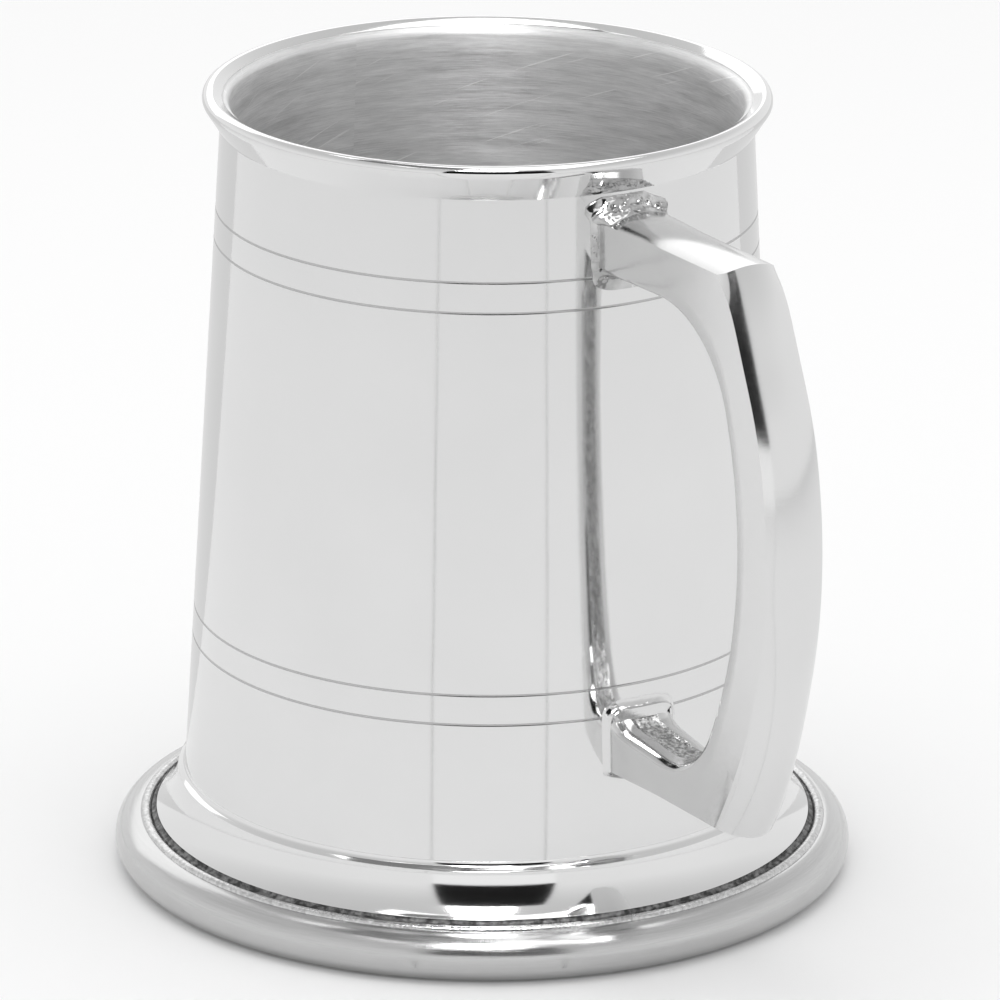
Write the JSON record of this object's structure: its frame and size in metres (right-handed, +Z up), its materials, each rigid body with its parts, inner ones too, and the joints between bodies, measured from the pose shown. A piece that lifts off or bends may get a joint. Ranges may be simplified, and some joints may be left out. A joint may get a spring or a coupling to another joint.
{
  "type": "tankard",
  "caption": "Open pewter tankard: tapered drum with fine turned lines, flared lip, moulded foot with a round base ring, and a solid crowned strap handle.",
  "frame": {"origin": "middle of the flat on the underside of the base ring, on the surface that the tankard stands on", "axes": "+Z up along the drum's axis, +X out along the handle, +Y to the left of the handle seen from outside"},
  "size_m": [0.1406, 0.111, 0.12],
  "materials": {
    "polished_pewter": "mirror polished, with faint wiping marks",
    "brushed_pewter": "satin, brushed round the axis",
    "base_pewter": "bright, with fine lines round the axis",
    "handle_pewter": "polished, as cast in a band inside the grip",
    "solder": "as run, lightly wiped",
    "dark_solder": "unpolished and dull"
  },
  "bodies": {
    "root": {"drum": "polished_pewter", "lip_band": "polished_pewter", "floor_disc": "brushed_pewter", "foot_skirt": "polished_pewter", "base_ring": "base_pewter", "handle": "handle_pewter", "upper_joint_solder": "solder", "lower_joint_solder": "solder", "lip_seam_solder": "solder", "floor_seam_solder": "solder", "skirt_seam_solder": "dark_solder", "base_seam_solder": "solder"}
  },
  "joints": []
}
